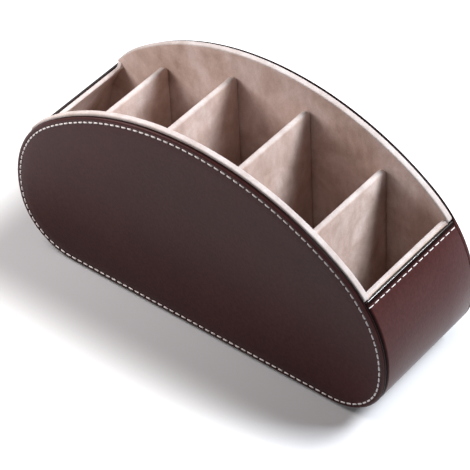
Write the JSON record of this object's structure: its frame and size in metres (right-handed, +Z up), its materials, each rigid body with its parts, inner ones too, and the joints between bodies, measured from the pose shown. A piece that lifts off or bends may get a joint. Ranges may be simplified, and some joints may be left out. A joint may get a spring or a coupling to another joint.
{
  "type": "desk organizer",
  "caption": "Half-moon desk organizer, open at the top: leather panels with contrast stitching, wrapped ends and base, velvet-lined compartments between fixed dividers.",
  "frame": {"origin": "middle of the felt pad's underside, on the table", "axes": "+X along the width, to the right as seen from the front; +Y from the front panel to the rear; +Z up"},
  "size_m": [0.25, 0.0808, 0.1319],
  "materials": {
    "leather": "smooth semi-gloss dark brown leather",
    "velvet": "short-pile beige velvet",
    "card": "matt greyboard",
    "felt": "matt dark felt",
    "thread": "twisted cream thread"
  },
  "bodies": {
    "root": {"front_leather": "leather", "front_board": "card", "front_lining": "velvet", "front_lining_card": "card", "front_stitching": "thread", "rear_leather": "leather", "rear_board": "card", "rear_lining": "velvet", "rear_lining_card": "card", "rear_stitching": "thread", "wrap_leather": "leather", "base_board": "card", "left_end_board": "card", "left_lining": "velvet", "left_lining_card": "card", "left_stitching": "thread", "right_end_board": "card", "right_lining": "velvet", "right_lining_card": "card", "right_stitching": "thread", "floor_card": "card", "floor_lining": "velvet", "divider_sleeve_1": "velvet", "divider_card_1": "card", "divider_sleeve_2": "velvet", "divider_card_2": "card", "divider_sleeve_3": "velvet", "divider_card_3": "card", "divider_sleeve_4": "velvet", "divider_card_4": "card", "base_felt": "felt"}
  },
  "joints": []
}
